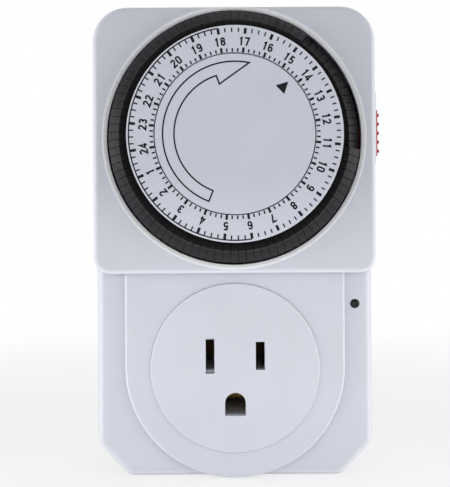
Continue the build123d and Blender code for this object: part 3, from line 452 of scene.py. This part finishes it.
class Print:
    """Thin raised ink on the dial's face, gathered into one mesh."""

    def __init__(self):
        self.mesh = bmesh.new()

    def strip(self, rows, closed, lift):
        """A bar through rows, which are pairs of points across it, in order along it."""
        front = PRINT_FRONT - lift
        made = []
        for left, right in rows:
            corners = ((left, PRINT_BACK), (right, PRINT_BACK), (right, front), (left, front))
            made.append([self.mesh.verts.new((x, y, z)) for (x, z), y in corners])
        following = made[1:] + made[:1] if closed else made[1:]
        for first, second in zip(made, following):
            for i in range(4):
                j = (i + 1) % 4
                self.mesh.faces.new((first[i], first[j], second[j], second[i]))
        if not closed:
            self.mesh.faces.new(made[0][::-1])
            self.mesh.faces.new(made[-1])

    def stroke(self, points, width, closed=False, lift=0.0):
        """A line of a width in mm along points, with mitred corners, its front raised by lift."""
        half = width * MM / 2
        count = len(points)
        rows = []
        for i, (x, z) in enumerate(points):
            before = points[i - 1] if i or closed else None
            after = points[(i + 1) % count] if i < count - 1 or closed else None
            ways = []
            for a, b in ((before, (x, z)), ((x, z), after)):
                if a is not None and b is not None:
                    way = Vector((b[0] - a[0], b[1] - a[1]))
                    ways.append(way.normalized())
            normal = sum((Vector((-way.y, way.x)) for way in ways), Vector((0, 0))).normalized()
            slant = normal.dot(Vector((-ways[0].y, ways[0].x)))
            reach = half / max(slant, SHARPEST)
            rows.append(
                (
                    (x + normal.x * reach, z + normal.y * reach),
                    (x - normal.x * reach, z - normal.y * reach),
                )
            )
        self.strip(rows, closed, lift)

    def polygon(self, points):
        """A filled shape."""
        back = [self.mesh.verts.new((x, PRINT_BACK, z)) for x, z in points]
        front = [self.mesh.verts.new((x, PRINT_FRONT, z)) for x, z in points]
        self.mesh.faces.new(back)
        self.mesh.faces.new(front[::-1])
        for i in range(len(points)):
            j = (i + 1) % len(points)
            self.mesh.faces.new((back[i], front[i], front[j], back[j]))

    def numeral(self, words, angle, radius):
        """A number with its top outward, its middle at a radius in mm and a clock angle."""
        out_x, out_z = clock(1, angle)
        start = -DIGIT_PITCH * (len(words) - 1) / 2
        for place, digit in enumerate(words):
            for layer, (path, closed) in enumerate(DIGITS[digit]):
                points = []
                for across, up in path:
                    side = (start + place * DIGIT_PITCH + across) * DIGIT_HEIGHT
                    reach = radius + (up - 0.5) * DIGIT_HEIGHT
                    points.append((out_x * reach + out_z * side, out_z * reach - out_x * side))
                self.stroke(points, DIGIT_WEIGHT * DIGIT_HEIGHT, closed, layer * LAYER)

    def build(self, name, shader, body):
        """The print as an object that rides on a body."""
        bmesh.ops.remove_doubles(self.mesh, verts=self.mesh.verts, dist=WELD)
        bmesh.ops.recalc_face_normals(self.mesh, faces=self.mesh.faces)
        mesh = bpy.data.meshes.new(name)
        self.mesh.to_mesh(mesh)
        self.mesh.free()
        mesh.materials.append(shader.material)
        made = bpy.data.objects.new(name, mesh)
        scene.collection.objects.link(made)
        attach(made, body)


# Radii and stroke widths on the dial and its centre disc, in mm
NUMERAL_RADIUS = 22.3
HOUR_TICKS = ((24.1, 25.5, 0.68), (19.6, 20.8, 0.6))  # inner end, outer end, width
QUARTER_TICKS = ((24.45, 25.45, 0.34), (19.7, 20.55, 0.38))
NIGHT_RADIUS, NIGHT_WIDTH = 25.6, 0.32
NIGHT_HOURS = (30, 18)  # from the 6, counted on as 30, back to the 18
RIM_RADIUS, RIM_WIDTH = 25.93, 0.3
RIM_STOP = 358.5  # one step of arc short of a whole turn
ARROW_WIDTH = 0.38
ARROW_OUTER, ARROW_INNER = 17.4, 14.65
ARROW_TAIL, ARROW_TIP, ARROW_NOTCH = 201.4, 371.7, 342.4  # clock angles
ARROW_BARB = clock(12.5, 342.9)
INDEX_ANGLE = 46  # clock angle
INDEX_APEX, INDEX_BASE, INDEX_HALF = 17.9, 15.1, 1.5

numerals = Print()
for hour in range(1, 25):
    numerals.numeral(str(hour), hour_angle(hour), NUMERAL_RADIUS)
numerals.build("hour_numerals", ink, "dial")

ticks = Print()
for quarter in range(96):
    angle = FIRST_ANGLE + quarter * QUARTER_STEP
    for inner, outer, width in QUARTER_TICKS if quarter % 4 else HOUR_TICKS:
        ticks.stroke((clock(inner, angle), clock(outer, angle)), width)
ticks.build("hour_ticks", ink, "dial")

night = Print()
night.stroke(arc(NIGHT_RADIUS, *(hour_angle(hour) for hour in NIGHT_HOURS)), NIGHT_WIDTH)
night.build("night_band", ink, "dial")

rim = Print()
rim.stroke(arc(RIM_RADIUS, 0, RIM_STOP), RIM_WIDTH, closed=True)
rim.build("scale_rim", rim_paint, "dial")

arrow = Print()
outer_arc = arc(ARROW_OUTER, ARROW_TAIL, ARROW_TIP)
inner_arc = arc(ARROW_INNER, ARROW_NOTCH, ARROW_TAIL)
arrow.stroke([*outer_arc, ARROW_BARB, *inner_arc], ARROW_WIDTH, closed=True)
arrow.build("turning_arrow", ink, "housing")

pointer = Print()
base_x, base_z = clock(INDEX_BASE, INDEX_ANGLE)
side_x, side_z = clock(INDEX_HALF, INDEX_ANGLE + 90)
pointer.polygon(
    [
        clock(INDEX_APEX, INDEX_ANGLE),
        (base_x + side_x, base_z + side_z),
        (base_x - side_x, base_z - side_z),
    ]
)
pointer.build("index_mark", ink, "housing")

# ------------------------------------------------------------------ floor, light and camera
low, high = cad_box


FLOOR_HALF = 3.0  # metres
FLOOR_GAP = 0.2 * MM  # below the object
FLOOR_TONE = (0.86, 0.86, 0.87, 1)
FADE_START, FADE_STOP = 0.1, 0.4  # metres from the origin
NEAR_SHARE = 0.7  # of plain white, near the object, so that its shadow shows
WHITE = (1, 1, 1, 1)
STUDIO_TONE = (0.97, 0.98, 1.0, 1)
STUDIO_STRENGTH = 0.39

# The floor is white to the camera and to gloss and glass, less so near the object
floor_mesh = bpy.data.meshes.new("floor")
floor_mesh.from_pydata(
    [(x * FLOOR_HALF, y * FLOOR_HALF, 0) for x, y in ((-1, -1), (1, -1), (1, 1), (-1, 1))],
    [],
    [(0, 1, 2, 3)],
)
floor = bpy.data.objects.new("floor", floor_mesh)
floor.location = (0, 0, low.z - FLOOR_GAP)
scene.collection.objects.link(floor)
floor_material = bpy.data.materials.new("pale_floor")
floor_material.use_nodes = True
tree = floor_material.node_tree
floor_bsdf = tree.nodes["Principled BSDF"]
floor_bsdf.inputs["Base Color"].default_value = FLOOR_TONE
floor_bsdf.inputs["Roughness"].default_value = 0.7
glow = add(tree, "ShaderNodeEmission")
glow.inputs["Strength"].default_value = 1.0
rays = add(tree, "ShaderNodeLightPath").outputs
seen = add(
    tree, "ShaderNodeMath", rays["Is Camera Ray"], rays["Is Glossy Ray"], operation="MAXIMUM"
)
seen = add(
    tree, "ShaderNodeMath", seen.outputs[0], rays["Is Transmission Ray"], operation="MAXIMUM"
)
place = add(tree, "ShaderNodeNewGeometry").outputs["Position"]
away = add(tree, "ShaderNodeVectorMath", place, operation="LENGTH").outputs["Value"]
fade = add(tree, "ShaderNodeMapRange", away, interpolation_type="SMOOTHSTEP")
fade = spread(fade, FADE_START, FADE_STOP, NEAR_SHARE, 1.0)
share = add(tree, "ShaderNodeMath", seen.outputs[0], fade, operation="MULTIPLY")
mixer = add(
    tree, "ShaderNodeMixShader", share.outputs[0], floor_bsdf.outputs[0], glow.outputs[0]
)
tree.links.new(mixer.outputs[0], tree.nodes["Material Output"].inputs["Surface"])
floor.data.materials.append(floor_material)

# The world lights softly and looks plain white to the camera
world = bpy.data.worlds.new("studio")
scene.world = world
world.use_nodes = True
tree = world.node_tree
tree.nodes.clear()
soft = add(tree, "ShaderNodeBackground")
soft.inputs["Color"].default_value = STUDIO_TONE
soft.inputs["Strength"].default_value = STUDIO_STRENGTH
white = add(tree, "ShaderNodeBackground")
white.inputs["Color"].default_value = WHITE
white.inputs["Strength"].default_value = 1.0
is_camera = add(tree, "ShaderNodeLightPath").outputs["Is Camera Ray"]
mixer = add(tree, "ShaderNodeMixShader", is_camera, soft.outputs[0], white.outputs[0])
add(tree, "ShaderNodeOutputWorld", mixer.outputs[0])


def softbox(name, location, target, size, power):
    lamp = bpy.data.lights.new(name, "AREA")
    lamp.shape = "RECTANGLE"
    lamp.size, lamp.size_y = size
    lamp.energy = power
    made = bpy.data.objects.new(name, lamp)
    made.location = location
    made.rotation_mode = "QUATERNION"
    made.rotation_quaternion = (Vector(target) - Vector(location)).to_track_quat("-Z", "Y")
    made.visible_camera = False
    scene.collection.objects.link(made)


# Name, place and target in metres, size, and power in watts
middle = (low + high) / 2
softbox("key_light", (-0.15, -0.75, 0.0), middle, (0.6, 0.6), 0.25)
softbox("left_light", (-0.57, -0.17, -0.02), middle, (0.6, 0.5), 1.8)
softbox("right_light", (0.57, -0.17, -0.02), middle, (0.6, 0.5), 1.7)
softbox("floor_light", (0, -0.22, -0.01), (0, -0.22, -0.1), (0.6, 0.2), 0.62)
softbox("back_light", (0.1, 0.7, 0.4), middle, (0.8, 0.8), 2.5)

# The photograph's viewpoint: straight on to the front, a little to the left and below the dial
CAMERA_PLACE = (-5.68 * MM, -251 * MM, -26.04 * MM)
CAMERA_ROLL = math.radians(0.35)
camera = bpy.data.cameras.new("camera")
camera.lens = 64.0
camera.sensor_width = 36.0
camera.shift_x = 0.0267
camera.shift_y = -0.0025
camera.clip_start, camera.clip_end = 0.01, 20
eye = bpy.data.objects.new("camera", camera)
eye.location = CAMERA_PLACE
eye.rotation_euler = (math.radians(90), CAMERA_ROLL, 0)
scene.collection.objects.link(eye)
scene.camera = eye
scene.view_settings.view_transform = "Standard"
